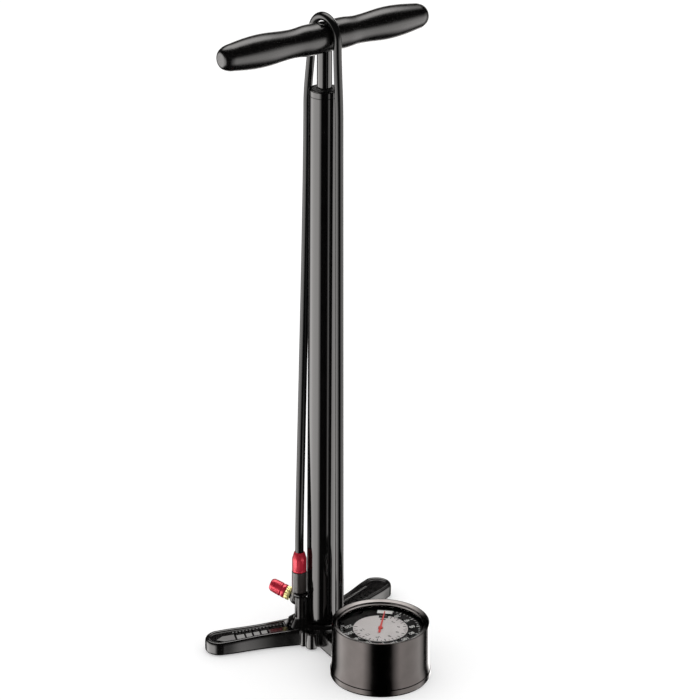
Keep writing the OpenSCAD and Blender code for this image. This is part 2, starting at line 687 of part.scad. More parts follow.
module chuck_body() color([0.2, 0.17, 0.16]) difference() {
    lean = knuckle_top - knuckle;
    union() {
        translate([dock[0], dock[1], chuck_z]) cylinder(r = chuck_r, h = body_top - chuck_z);
        difference() {
            union() {
                translate(knuckle) sphere(r = knuckle_r);
                translate(knuckle)
                    rotate([0, acos(lean[2] / norm(lean)), atan2(lean[1], lean[0])])
                        cylinder(r = 6.6, h = norm(lean));
            }
            at_side() translate([0, 0, collar_t - face_gap])
                cylinder(r = collar_r + 0.35, h = 10);
        }
        at_side() cylinder(r = spigot_r, h = cap_t - 2.8);
    }
    translate([post[0], post[1], 0]) cylinder(r = flange_r + 0.3, h = chuck_z);
    translate([dock[0], dock[1], 0]) cylinder(r = dock_pin_r + run_gap, h = pin_z);
    translate([dock[0], dock[1], body_top - 9]) cylinder(r = 5 + seat_gap, h = 20);
    at_side() cylinder(r = 1.5, h = 20);
}

module hose_ferrule() color([0.72, 0.08, 0.12]) translate([dock[0], dock[1], body_top]) difference() {
    rotate_extrude() polygon([
        [0, face_gap], [6.9, face_gap], [7.55, 0.8], [7.55, 12.6], [7, 14.2], [5.4, ferrule_h - 0.5],
        [4.9, ferrule_h], [0, ferrule_h]]);
    translate([0, 0, -1]) cylinder(r = 5 + seat_gap, h = 3.6);
    translate([0, 0, 2]) cylinder(r = hose_r + 0.12, h = 30);
    for (a = [0:15:345]) rotate([0, 0, a]) translate([7.75, 0, 1.6]) cylinder(r = 0.45, h = 10.4, $fn = 20);
}

module hose_barb() color([0.8, 0.65, 0.3]) translate([dock[0], dock[1], body_top]) difference() {
    union() {
        translate([0, 0, -8.9]) cylinder(r = 5, h = 11.4);
        cylinder(r = hose_bore / 2 - 0.15, h = 16);
    }
    translate([0, 0, -10]) cylinder(r = 1.2, h = 40);
}

module lock_collar() color([0.8, 0.72, 0.35]) at_side() difference() {
    translate([0, 0, collar_t]) cylinder(r = collar_r, h = collar_len - face_gap);
    cylinder(r = spigot_r + run_gap, h = 40);
    translate([0, 0, cap_t - 2.6]) cylinder(r = 5 + seat_gap, h = 10);
    for (a = [0:18:342]) rotate([0, 0, a]) translate([collar_r + 0.25, 0, collar_t - 1])
        cylinder(r = 0.6, h = 10, $fn = 20);
}

module side_cap() color([0.72, 0.08, 0.12]) at_side() difference() {
    union() {
        rotate_extrude() polygon([
            [0, cap_t], [cap_r - 0.3, cap_t], [cap_r, cap_t + 0.4], [cap_r, cap_t + 3.3],
            [cap_r - 0.5, cap_t + 3.8], [cap_r - 0.5, cap_t + 4.6], [cap_r, cap_t + 5.1],
            [cap_r, cap_t + 9], [cap_r - 0.3, cap_t + 12.5], [cap_r - 0.9, cap_t + 15.5],
            [cap_r - 1.7, cap_t + 17.2], [cap_r - 2.3, cap_t + cap_len], [0, cap_t + cap_len]]);
        translate([0, 0, cap_t - 2.5]) cylinder(r = 5, h = 4);
    }
    translate([0, 0, cap_t - 5]) cylinder(r = 1.5, h = 40);
    translate([0, 0, cap_t + 4]) cylinder(r = gasket_r + seat_gap, h = gasket_h + 0.1);
    translate([0, 0, cap_t + 4]) cylinder(r = valve_r, h = 40);
}

module side_gasket() color([0.15, 0.15, 0.15]) at_side()
    ring(gasket_r, 2.2, cap_t + 4 + face_gap, gasket_h - 0.05);

base_casting();
leg_pads();
gauge_foot_ring();
barrel();
barrel_cap();
rod_guide_bush();
rod_wiper();
barrel_seal();
check_valve_seat();
check_valve_ball();
check_valve_spring();
hose_fitting();
air_hose();
gauge_case();
gauge_screws();
gauge_bezel();
gauge_lens();
dial_plate();
dial_centre();
gauge_socket();
bourdon_tube();
movement_lower_plate();
movement_pillars();
movement_upper_plate();
sector_gear();
bourdon_link();
pinion_arbor();
hairspring();
gauge_needle();
piston_rod();
rod_top_insert();
piston_head();
piston_seal();
piston_screw();
stroke_bumper();
handle();
handle_washer();
handle_bolt();
chuck_body();
hose_ferrule();
hose_barb();
lock_collar();
side_cap();
side_gasket();
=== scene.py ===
"""Looks for the floor bike pump: fine meshes, procedural materials, studio light and camera."""
import bpy
import bmesh
import json
import math
from mathutils import Matrix, Vector


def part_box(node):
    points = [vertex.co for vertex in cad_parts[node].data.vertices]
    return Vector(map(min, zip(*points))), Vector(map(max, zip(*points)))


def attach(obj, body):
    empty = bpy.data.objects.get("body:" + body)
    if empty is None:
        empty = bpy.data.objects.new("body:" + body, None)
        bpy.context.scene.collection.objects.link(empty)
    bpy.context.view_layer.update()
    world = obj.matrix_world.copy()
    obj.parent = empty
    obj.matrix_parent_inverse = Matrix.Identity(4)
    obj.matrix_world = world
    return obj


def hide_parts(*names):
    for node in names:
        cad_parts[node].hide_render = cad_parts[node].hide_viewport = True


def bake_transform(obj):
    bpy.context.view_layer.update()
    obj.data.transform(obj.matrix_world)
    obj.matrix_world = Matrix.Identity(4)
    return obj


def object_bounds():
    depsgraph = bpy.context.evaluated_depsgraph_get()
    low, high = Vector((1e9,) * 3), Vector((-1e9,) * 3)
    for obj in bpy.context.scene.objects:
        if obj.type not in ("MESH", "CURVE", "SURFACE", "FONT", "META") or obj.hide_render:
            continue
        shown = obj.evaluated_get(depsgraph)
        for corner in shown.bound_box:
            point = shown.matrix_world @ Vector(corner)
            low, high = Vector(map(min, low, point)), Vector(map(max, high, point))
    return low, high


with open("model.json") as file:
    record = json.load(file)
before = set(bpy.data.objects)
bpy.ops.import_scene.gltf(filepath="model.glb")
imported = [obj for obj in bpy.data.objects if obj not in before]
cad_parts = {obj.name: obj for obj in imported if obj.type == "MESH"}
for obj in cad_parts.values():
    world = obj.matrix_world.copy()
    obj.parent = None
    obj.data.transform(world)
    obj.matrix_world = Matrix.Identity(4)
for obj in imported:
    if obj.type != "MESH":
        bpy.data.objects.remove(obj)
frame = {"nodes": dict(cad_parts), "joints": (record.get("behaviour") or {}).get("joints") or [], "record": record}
cad_lo, cad_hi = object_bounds()
MM = 0.001
# a profile point no further from the axis than this lies on it (metres)
AXIS = 1e-6
# points closer together than this are one point
WELD = 0.002 * MM
TAU = 2 * math.pi


# ---------------------------------------------------------------- places taken from the frame
def middle(node):
    """Centre of a CAD node's box."""
    lo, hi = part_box(node)
    return (lo + hi) / 2


joints = {j["name"]: j for j in frame["joints"]}
BASE, PLUNGER, CHUCK = "pump_base", "plunger", "chuck"
SIDE, POINTER = "side_head", "pointer"

floor_z = cad_lo.z
barrel_lo, barrel_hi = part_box("barrel")
barrel_r = barrel_hi.x
rod_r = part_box("piston_rod")[1].x
rod_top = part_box("piston_rod")[1].z
rod_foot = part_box("piston_rod")[0].z
handle_lo, handle_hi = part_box("handle")
handle_half = handle_hi.x
handle_bulge = handle_hi.y
handle_z = handle_lo.z + handle_bulge
# the handle's greatest radius, as a multiple of its radius in the middle
HANDLE_BULGE = 1.06
# half length that the distances along the handle are given for, and where its ends round over
HANDLE_REF = 131
TAPER_X, TAPER_R = 121, 0.83
handle_r = handle_bulge / HANDLE_BULGE
gauge = middle("gauge_bezel")
RIM_WALL = 0.7 * MM
gauge_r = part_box("gauge_bezel")[1].x + RIM_WALL + 0.03 * MM
gauge_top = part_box("gauge_bezel")[1].z
bezel_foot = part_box("gauge_bezel")[0].z
case_lo, case_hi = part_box("gauge_case")
ring_lo, ring_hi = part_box("gauge_foot_ring")
dial_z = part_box("dial_plate")[1].z
inner_dial_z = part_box("dial_centre")[1].z
lens_lo, lens_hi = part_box("gauge_lens")
pad_lo, pad_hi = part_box("leg_pads")
pad_r = 10 * MM
pad_centre = Vector((pad_hi.x - pad_r, pad_hi.y - pad_r, 0))
leg_angle = math.atan2(pad_centre.y, pad_centre.x)
leg_reach = pad_centre.length + 7 * MM
ferrule_lo, ferrule_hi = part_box("hose_ferrule")
dock = middle("hose_ferrule")
hose_lo, hose_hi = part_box("air_hose")
side_joint = joints["side_head_turn"]
knuckle = Vector(side_joint["pos_m"])
side_axis = Vector(side_joint["axis"]).normalized()
casting_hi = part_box("base_casting")[1]
HOSE_R = 4.4 * MM
HOSE_ARCH_R = 21.7 * MM


# ---------------------------------------------------------------- mesh helpers
def add_mesh(name, verts, faces, sharp=38, body=None, swap=None, slot=None):
    """A smooth-shaded mesh object with creases above an angle, riding on a body."""
    mesh = bpy.data.meshes.new(name)
    mesh.from_pydata([tuple(v) for v in verts], [], faces)
    tidy(mesh, sharp)
    obj = bpy.data.objects.new(name, mesh)
    bpy.context.scene.collection.objects.link(obj)
    return place(obj, body, swap)


def tidy(mesh, sharp=38):
    bm = bmesh.new()
    bm.from_mesh(mesh)
    bmesh.ops.remove_doubles(bm, verts=bm.verts, dist=1e-7)
    bmesh.ops.recalc_face_normals(bm, faces=bm.faces)
    bm.to_mesh(mesh)
    bm.free()
    for face in mesh.polygons:
        face.use_smooth = True
    mesh.set_sharp_from_angle(angle=math.radians(sharp))
    mesh.update()


def place(obj, body=None, swap=None):
    if body:
        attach(obj, body)
    if swap:
        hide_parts(*([swap] if isinstance(swap, str) else swap))
    return obj


def cubic(a, b, c, d, t):
    s = 1 - t
    return s * s * s * a + 3 * s * s * t * b + 3 * s * t * t * c + t * t * t * d


def rounded(points, radius=0.4 * MM, steps=4, closed=True):
    """A polyline with its corners rounded; a point may carry its own radius as a third value."""
    out = []
    n = len(points)
    for i, p in enumerate(points):
        r = p[2] if len(p) > 2 else radius
        here = Vector(p[:2])
        if r <= 0 or (not closed and i in (0, n - 1)):
            out.append(tuple(here))
            continue
        a = Vector(points[i - 1][:2]) - here
        b = Vector(points[(i + 1) % n][:2]) - here
        cut = min(r, 0.36 * a.length, 0.36 * b.length)
        a.normalize()
        b.normalize()
        # a support point either side keeps the shading of the straight runs straight
        hold = min(0.35 * MM, 0.3 * cut)
        out.append(tuple(here + a * (cut + hold)))
        for k in range(steps + 1):
            t = k / steps
            out.append(tuple(here + a * cut * (1 - t) ** 2 + b * cut * t ** 2))
        out.append(tuple(here + b * (cut + hold)))
    return out


def lathe_part(profile, segments=64, turn=None):
    """Verts and faces of a closed solid of revolution. A point on the axis is one pole vertex."""
    turn = turn or Matrix.Identity(4)
    verts, rings, faces = [], [], []
    for r, h in profile:
        first = len(verts)
        if r <= AXIS:
            verts.append(turn @ Vector((0, 0, h)))
            rings.append([first] * segments)
            continue
        for k in range(segments):
            a = TAU * k / segments
            verts.append(turn @ Vector((r * math.cos(a), r * math.sin(a), h)))
        rings.append(list(range(first, first + segments)))
    for here, there in zip(rings, rings[1:] + rings[:1]):
        for k in range(segments):
            k2 = (k + 1) % segments
            corners = tuple(dict.fromkeys((here[k], here[k2], there[k2], there[k])))
            if len(corners) > 2:
                faces.append(corners)
    return verts, faces


def lathe(name, profile, turn=None, segments=96, **kw):
    """Revolves (radius, height) points about Z; turn is a matrix that places the result."""
    return add_mesh(name, *lathe_part(profile, segments, turn), **kw)


def solid_profile(profile):
    """Closes an outer profile onto the axis, from its last point back to its first."""
    return [(AXIS, profile[0][1])] + list(profile) + [(AXIS, profile[-1][1])]


def sweep(line, radius, sides=24, ref=Vector((1, 0, 0)), bore=None):
    """Verts and faces of a round tube along a line; open at the ends if it has a bore."""
    verts, faces = [], []
    rings = [radius] if bore is None else [radius, bore]
    for r in rings:
        for i, p in enumerate(line):
            t = (line[min(i + 1, len(line) - 1)] - line[max(i - 1, 0)]).normalized()
            u = ref.cross(t).normalized()
            v = t.cross(u)
            for k in range(sides):
                a = TAU * k / sides
                verts.append(p + r * (u * math.cos(a) + v * math.sin(a)))
    m = len(line)
    for s in range(len(rings)):
        o = s * m * sides
        for i in range(m - 1):
            for k in range(sides):
                a, b = o + i * sides + k, o + i * sides + (k + 1) % sides
                quad = (a, a + sides, b + sides, b)
                faces.append(quad if s == 0 else quad[::-1])
    for end in (0, m - 1):
        ring = [end * sides + k for k in range(sides)]
        if bore is None:
            faces.append(ring if end == 0 else ring[::-1])
        else:
            for k in range(sides):
                a, b = ring[k], ring[(k + 1) % sides]
                faces.append((a, b, b + m * sides, a + m * sides))
    return verts, faces


def prism(outline, z0, z1):
    """Verts and faces of an upright prism over an outline of (x, y)."""
    n = len(outline)
    verts = [Vector((x, y, z)) for z in (z0, z1) for x, y in outline]
    faces = [tuple(range(n - 1, -1, -1)), tuple(range(n, 2 * n))]
    faces += [(i, (i + 1) % n, n + (i + 1) % n, n + i) for i in range(n)]
    return verts, faces


def joined(parts):
    """One list of verts and faces out of several."""
    verts, faces = [], []
    for v, f in parts:
        o = len(verts)
        verts += list(v)
        faces += [tuple(i + o for i in face) for face in f]
    return verts, faces


def moved(part, matrix):
    return [matrix @ Vector(v) for v in part[0]], part[1]


def bake_modifiers(obj):
    """Replaces an object's mesh with its evaluated mesh and drops the modifiers."""
    graph = bpy.context.evaluated_depsgraph_get()
    mesh = bpy.data.meshes.new_from_object(obj.evaluated_get(graph))
    obj.modifiers.clear()
    old = obj.data
    obj.data = mesh
    bpy.data.meshes.remove(old)


def clean(obj):
    """Welds coincident points and drops islands of too few faces to enclose anything."""
    mesh = bmesh.new()
    mesh.from_mesh(obj.data)
    bmesh.ops.remove_doubles(mesh, verts=mesh.verts, dist=WELD)
    bmesh.ops.dissolve_degenerate(mesh, edges=mesh.edges, dist=WELD)
    waiting = set(mesh.faces)
    slivers = []
    while waiting:
        island, edge_of_search = set(), [waiting.pop()]
        while edge_of_search:
            face = edge_of_search.pop()
            island.add(face)
            near = {f for e in face.edges for f in e.link_faces} & waiting
            waiting -= near
            edge_of_search += near
        if len(island) < 4:
            slivers += island
    bmesh.ops.delete(mesh, geom=slivers, context="FACES")
    mesh.to_mesh(obj.data)
    mesh.free()


def cut(obj, cutters):
    """Boolean difference of obj with each cutter object, applied."""
    for cutter in cutters:
        mod = obj.modifiers.new("cut", "BOOLEAN")
        mod.operation = "DIFFERENCE"
        mod.object = cutter
        mod.solver = "EXACT"
        bpy.context.view_layer.update()
        bake_modifiers(obj)
        clean(obj)
        bpy.data.objects.remove(cutter)


def raw(name, part):
    """An object without a body, for cutters and remeshing."""
    return add_mesh(name, *part)


def can(r, z0, z1, at=(0, 0), r2=None):
    """A closed cylinder or cone part."""
    r2 = r if r2 is None else r2
    part = lathe_part([(AXIS, z0), (r, z0), (r2, z1), (AXIS, z1)])
    return moved(part, Matrix.Translation((at[0], at[1], 0)))


# ---------------------------------------------------------------- material helpers
def node_tree(name):
    mat = bpy.data.materials.new(name)
    mat.use_nodes = True
    tree = mat.node_tree
    shader = tree.nodes["Principled BSDF"]
    coord = tree.nodes.new("ShaderNodeTexCoord")
    return mat, tree, shader, coord


def noise(tree, coord, scale, detail=3.0, stretch=None):
    tex = tree.nodes.new("ShaderNodeTexNoise")
    tex.inputs["Scale"].default_value = scale
    tex.inputs["Detail"].default_value = detail
    source = coord.outputs["Object"]
    if stretch:
        mapping = tree.nodes.new("ShaderNodeMapping")
        mapping.inputs["Scale"].default_value = stretch
        tree.links.new(source, mapping.inputs["Vector"])
        source = mapping.outputs["Vector"]
    tree.links.new(source, tex.inputs["Vector"])
    return tex.outputs["Fac"]


def ramp(tree, fac, stops):
    node = tree.nodes.new("ShaderNodeValToRGB")
    elements = node.color_ramp.elements
    while len(elements) < len(stops):
        elements.new(0.5)
    for element, (pos, value) in zip(elements, stops):
        element.position = pos
        element.color = (*value, 1) if isinstance(value, (tuple, list)) else (value,) * 3 + (1,)
    tree.links.new(fac, node.inputs["Fac"])
    return node.outputs["Color"]


def math_node(tree, operation, a, b=None):
    node = tree.nodes.new("ShaderNodeMath")
    node.operation = operation
    for socket, value in zip(node.inputs, (a, b)):
        if value is None:
            continue
        if isinstance(value, (int, float)):
            socket.default_value = value
        else:
            tree.links.new(value, socket)
    return node.outputs[0]


def surface(name, dark, light, rough, metal=0.0, blotch=60, grain=None, spread=0.15,
            specular=0.5, stretch=None):
    """A painted, moulded or metal surface: colour drifts between dark and light, roughness
    varies by spread, and grain is a (scale, strength) pair of surface relief."""
    mat, tree, shader, coord = node_tree(name)
    drift = noise(tree, coord, blotch, 4.0, stretch)
    tree.links.new(ramp(tree, drift, [(0.3, dark), (0.7, light)]), shader.inputs["Base Color"])
    patch = noise(tree, coord, blotch * 2.7, 2.0, stretch)
    tree.links.new(ramp(tree, patch, [(0.3, rough * (1 - spread)), (0.7, rough * (1 + spread))]),
                   shader.inputs["Roughness"])
    shader.inputs["Metallic"].default_value = metal
    shader.inputs["Specular IOR Level"].default_value = specular
    if grain:
        bump = tree.nodes.new("ShaderNodeBump")
        bump.inputs["Strength"].default_value = grain[1]
        bump.inputs["Distance"].default_value = 0.05 * MM
        tree.links.new(noise(tree, coord, grain[0], 2.0, stretch), bump.inputs["Height"])
        tree.links.new(bump.outputs["Normal"], shader.inputs["Normal"])
    return mat


MATERIALS = {
    "cast_paint": surface("cast_paint", (0.0022, 0.0020, 0.0020), (0.0040, 0.0037, 0.0036), 0.16,
                          grain=(900, 0.12)),
    "barrel_paint": surface("barrel_paint", (0.0018, 0.0017, 0.0017), (0.0030, 0.0028, 0.0028), 0.07,
                            grain=(300, 0.03)),
    "rod_paint": surface("rod_paint", (0.0018, 0.0017, 0.0017), (0.0030, 0.0028, 0.0028), 0.07,
                         grain=(300, 0.03), stretch=(1, 1, 0.2)),
    "black_rubber": surface("black_rubber", (0.006, 0.006, 0.006), (0.011, 0.011, 0.011), 0.5,
                            grain=(1500, 0.3)),
    "hose_rubber": surface("hose_rubber", (0.0025, 0.0025, 0.0025), (0.0045, 0.0045, 0.0045), 0.12,
                           grain=(1200, 0.08), stretch=(1, 1, 0.15), specular=0.28),
    "brass": surface("brass", (0.60, 0.42, 0.15), (0.72, 0.53, 0.22), 0.28, metal=1.0,
                     grain=(900, 0.1)),
    "steel": surface("steel", (0.42, 0.42, 0.42), (0.58, 0.58, 0.57), 0.25, metal=1.0,
                     grain=(900, 0.1)),
    "nylon": surface("nylon", (0.62, 0.60, 0.54), (0.70, 0.68, 0.62), 0.45, grain=(700, 0.1)),
    "gauge_metal": surface("gauge_metal", (0.033, 0.030, 0.029), (0.041, 0.037, 0.036), 0.16,
                           metal=1.0, grain=(2500, 0.05)),
    "bezel_metal": surface("bezel_metal", (0.075, 0.070, 0.068), (0.105, 0.099, 0.096), 0.13,
                           metal=1.0, grain=(1500, 0.08)),
    "dial_black": surface("dial_black", (0.0025, 0.0025, 0.0025), (0.0045, 0.0045, 0.0045), 0.3,
                          grain=(2500, 0.05), specular=0.15),
    "dial_silver": surface("dial_silver", (0.50, 0.47, 0.46), (0.56, 0.53, 0.52), 0.5,
                           grain=(2500, 0.1)),
    "dial_white": surface("dial_white", (0.70, 0.70, 0.68), (0.78, 0.78, 0.76), 0.5),
    "dial_ink": surface("dial_ink", (0.004, 0.004, 0.004), (0.008, 0.008, 0.008), 0.4,
                        specular=0.15),
    "needle_red": surface("needle_red", (0.55, 0.045, 0.04), (0.65, 0.07, 0.06), 0.35),
    "handle_plastic": surface("handle_plastic", (0.0015, 0.0014, 0.0014), (0.0035, 0.0032, 0.0032),
                              0.22, blotch=250, grain=(1400, 0.5), spread=0.3, specular=0.4),
    "bolt_black": surface("bolt_black", (0.004, 0.004, 0.004), (0.008, 0.008, 0.008), 0.3,
                          grain=(900, 0.2)),
    "chuck_black": surface("chuck_black", (0.018, 0.015, 0.014), (0.028, 0.024, 0.022), 0.32,
                           grain=(1200, 0.15)),
    "red_anodised": surface("red_anodised", (0.42, 0.012, 0.03), (0.52, 0.02, 0.045), 0.30,
                            metal=0.35, grain=(1200, 0.1)),
    "gold_anodised": surface("gold_anodised", (0.62, 0.54, 0.20), (0.72, 0.64, 0.28), 0.28,
                             metal=0.6, grain=(1200, 0.1)),
}


def clear_window():
    """Thin clear plastic: mostly see-through with a faint reflection and fine dust."""
    mat, tree, shader, coord = node_tree("lens_clear")
    dust = noise(tree, coord, 900, 3.0)
    tree.links.new(ramp(tree, dust, [(0.5, 0.02), (0.8, 0.06)]), shader.inputs["Roughness"])
    shader.inputs["Base Color"].default_value = (1, 1, 1, 1)
    glossy = tree.nodes.new("ShaderNodeBsdfGlossy")
    glossy.inputs["Roughness"].default_value = 0.03
    clear = tree.nodes.new("ShaderNodeBsdfTransparent")
    fresnel = tree.nodes.new("ShaderNodeFresnel")
    fresnel.inputs["IOR"].default_value = 1.35
    mix = tree.nodes.new("ShaderNodeMixShader")
    # only the outer faces reflect; seen from inside the plastic stays clear
    inside = tree.nodes.new("ShaderNodeNewGeometry").outputs["Backfacing"]
    outside = math_node(tree, "SUBTRACT", 1.0, inside)
    tree.links.new(math_node(tree, "MULTIPLY", fresnel.outputs["Fac"], outside), mix.inputs[0])
    tree.links.new(clear.outputs["BSDF"], mix.inputs[1])
    tree.links.new(glossy.outputs["BSDF"], mix.inputs[2])
    tree.links.new(ramp(tree, dust, [(0.5, 0.02), (0.8, 0.06)]), glossy.inputs["Roughness"])
    tree.links.new(mix.outputs["Shader"], tree.nodes["Material Output"].inputs["Surface"])
    return mat


MATERIALS["lens_clear"] = clear_window()


def paint(obj, slot):
    """Gives an object the material of a slot."""
    obj.data.materials.clear()
    obj.data.materials.append(MATERIALS[slot])
    return obj


slot_of = {s["node"]: s["material_slot"] for s in frame["record"]["subparts"]}
for node, obj in frame["nodes"].items():
    paint(obj, slot_of[node])


def finish_piece(obj, slot, body, swap=None):
    paint(obj, slot)
    return place(obj, body, swap)


# ---------------------------------------------------------------- barrel, cap and rod
def barrel_piece():
    wall = 1.8 * MM
    z0, z1 = barrel_lo.z, barrel_hi.z
    profile = rounded([(barrel_r - wall, z0), (barrel_r, z0), (barrel_r, z1),
                       (barrel_r - wall, z1)], 0.3 * MM)
    finish_piece(lathe("barrel_tube", profile, segments=128), "barrel_paint", BASE, "barrel")


def cap_piece():
    lo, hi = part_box("barrel_cap")
    bush_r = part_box("rod_guide_bush")[1].x + 0.03 * MM
    seal_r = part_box("rod_wiper")[1].x + 0.03 * MM
    step = barrel_hi.z + 0.05 * MM
    skirt = barrel_r - 1.85 * MM
    profile = rounded([(bush_r, lo.z), (skirt, lo.z), (skirt, step), (barrel_r, step, 0.5 * MM),
                       (barrel_r, hi.z, 1.4 * MM), (seal_r, hi.z, 0.3 * MM),
                       (seal_r, hi.z - 2 * MM), (bush_r, hi.z - 2 * MM)], 0.2 * MM)
    finish_piece(lathe("barrel_end_cap", profile, segments=128), "barrel_paint", BASE,
                 "barrel_cap")


def rod_piece():
    profile = rounded([(rod_r - 1.5 * MM, rod_foot), (rod_r, rod_foot), (rod_r, rod_top),
                       (rod_r - 1.5 * MM, rod_top)], 0.2 * MM)
    finish_piece(lathe("plunger_rod", profile), "rod_paint", PLUNGER, "piston_rod")


# ---------------------------------------------------------------- handle
def handle_radius(x):
    """Radius of the handle at distance x from its middle."""
    keys = [(0, 1), (22, 1), (41, 0.92), (81, HANDLE_BULGE)]
    s = x / handle_half * HANDLE_REF
    if s > keys[-1][0]:
        t = (s - keys[-1][0]) / (TAPER_X - keys[-1][0])
        return handle_r * (keys[-1][1] - (keys[-1][1] - TAPER_R) * (1 - math.cos(math.pi / 2 * t)))
    for (x0, r0), (x1, r1) in zip(keys, keys[1:]):
        if s <= x1:
            return handle_r * (r0 + (r1 - r0) * (1 - math.cos(math.pi * (s - x0) / (x1 - x0))) / 2)


def handle_piece():
    shoulder = handle_half * TAPER_X / HANDLE_REF
    side = [(handle_radius(shoulder * i / 80), shoulder * i / 80) for i in range(81)]
    r = handle_radius(shoulder)
    corner = [Vector(p) for p in ((r, shoulder), (r - 1.3 * MM, shoulder + 5 * MM),
                                  (r - 3.4 * MM, handle_half), (5.5 * MM, handle_half))]
    end = [tuple(cubic(*corner, i / 12)) for i in range(1, 13)]
    upper = side + end
    profile = [(r, -x) for r, x in reversed(upper[1:])] + upper
    turn = Matrix.Translation((0, 0, handle_z)) @ Matrix.Rotation(math.pi / 2, 4, "Y")
    obj = lathe("handle_grip", solid_profile(profile), turn, segments=128)
    notch_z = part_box("handle_washer")[0].z - 0.02 * MM
    half = 10.6 * MM
    notch = prism([(-half, -30 * MM), (half, -30 * MM), (half, 30 * MM), (-half, 30 * MM)],
                  notch_z, handle_z + 30 * MM)
    cut(obj, [raw("notch_cutter", notch),
              raw("rod_cutter", can(rod_r + 0.03 * MM, handle_z - 40 * MM, rod_top)),
              raw("bolt_cutter", can(3.1 * MM, handle_z - 40 * MM, handle_z + 30 * MM))])
    bevel = obj.modifiers.new("soft_edges", "BEVEL")
    bevel.width = 0.6 * MM
    bevel.segments = 3
    bevel.limit_method = "ANGLE"
    bevel.angle_limit = math.radians(40)
    bpy.context.view_layer.update()
    bake_modifiers(obj)
    tidy(obj.data, 50)
    finish_piece(obj, "handle_plastic", PLUNGER, "handle")


def bolt_piece():
    lo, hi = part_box("handle_bolt")
    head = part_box("handle_washer")[1].z + 0.03 * MM
    rise = hi.z - head
    dome = [(7.4 * math.cos(math.radians(a)), rise / MM * (0.2 + 0.8 * math.sin(math.radians(a))))
            for a in range(0, 71, 7)]
    hollow = 2.8
    profile = [(0.001, lo.z / MM), (2.6, lo.z / MM), (3, lo.z / MM + 0.5), (3, head / MM),
               (7.1, head / MM), (7.4, head / MM + 0.15)]
    profile += [(r, head / MM + h) for r, h in dome if r > hollow]
    profile += [(hollow, head / MM + 0.98 * rise / MM), (hollow - 0.2, head / MM + 0.5),
                (0.001, head / MM + 0.5)]
    finish_piece(lathe("handle_bolt_head", [(r * MM, z * MM) for r, z in profile]), "bolt_black",
                 PLUNGER, "handle_bolt")


# ---------------------------------------------------------------- hose
def hose_pieces():
    r = HOSE_R
    bore = 2.25 * MM
    arch_r = HOSE_ARCH_R
    arch_z = hose_hi.z - r - arch_r
    foot = Vector((0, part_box("hose_fitting")[0].y + 6.06 * MM, hose_lo.z))
    knee = Vector((0, -25.2 * MM, 535 * MM))
    front = Vector((0, -arch_r, arch_z))
    rear = Vector((0, arch_r, arch_z))
    back = Vector((0, 28.8 * MM, 540 * MM))
    stop = Vector((dock.x, dock.y, ferrule_lo.z + 2.65 * MM))
    end = stop + Vector((0, 0, 26 * MM))
    up = Vector((0, 0, 1))

    front_leg = [foot.lerp(knee, i / 40) for i in range(40)]
    front_leg += [cubic(knee, knee + Vector((0, 0.2, 26)) * MM, front - up * 26 * MM, front, i / 14)
                  for i in range(14)]
    arch = [Vector((0, -arch_r * math.cos(math.pi * i / 40), arch_z + arch_r * math.sin(math.pi * i / 40)))
            for i in range(41)]
    drop = [cubic(rear, rear - up * 24 * MM, back + up * 24 * MM, back, i / 14) for i in range(1, 15)]
    run = [cubic(back, back - up * 140 * MM, end + up * 60 * MM, end, i / 50) for i in range(1, 51)]
    tail = [end.lerp(stop, i / 6) for i in range(1, 7)]

    # split the hose into three pieces along its line
    middle_run = len(run) * 3 // 5
    pieces = [("hose_front", front_leg + arch + drop[:4], None),
              ("hose_back", drop[3:] + run[:middle_run + 1], None),
              ("hose_tail", run[middle_run:] + tail, None)]
    made = []
    for name, line, _ in pieces:
        verts, faces = sweep(line, r, 32, bore=bore)
        made.append(paint(add_mesh(name, verts, faces), "hose_rubber"))
    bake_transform(made[0])
    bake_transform(made[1])
    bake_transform(made[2])
    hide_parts("air_hose")


# ---------------------------------------------------------------- base casting
def leg_outline(inset, root, steps=28):
    """Paddle outline of a leg along +X, drawn in by inset, from the root round the tip."""
    reach = leg_reach
    tip_r = 15.3 * MM - inset

    def half_width(x):
        t = (x - 25 * MM) / (reach - 25 * MM)
        return (15.5 - 1.9 * math.sin(math.pi * min(1.0, max(0.0, t * 1.05))) ** 1.5) * MM - inset

    side = []
    start = math.radians(80)
    join = reach + tip_r * math.cos(start)
    for i in range(steps):
        x = root + (join - root) * i / steps
        blend = max(0.0, (x - (reach - 22 * MM)) / (join - (reach - 22 * MM)))
        blend = blend * blend * (3 - 2 * blend)
        side.append((x, half_width(x) * (1 - blend) + tip_r * math.sin(start) * blend))
    tip = [(reach + tip_r * math.cos(start - 2 * start * k / 24),
            tip_r * math.sin(start - 2 * start * k / 24)) for k in range(25)]
    return side + tip + [(x, -y) for x, y in reversed(side)]


def leg_top(x):
    """Height of a leg's upper face at distance x from the barrel axis."""
    tip = leg_reach + 15.3 * MM
    t = max(0.0, (x - 25 * MM) / (tip - 25 * MM))
    return 17 * MM + (12.7 - 17) * MM * t


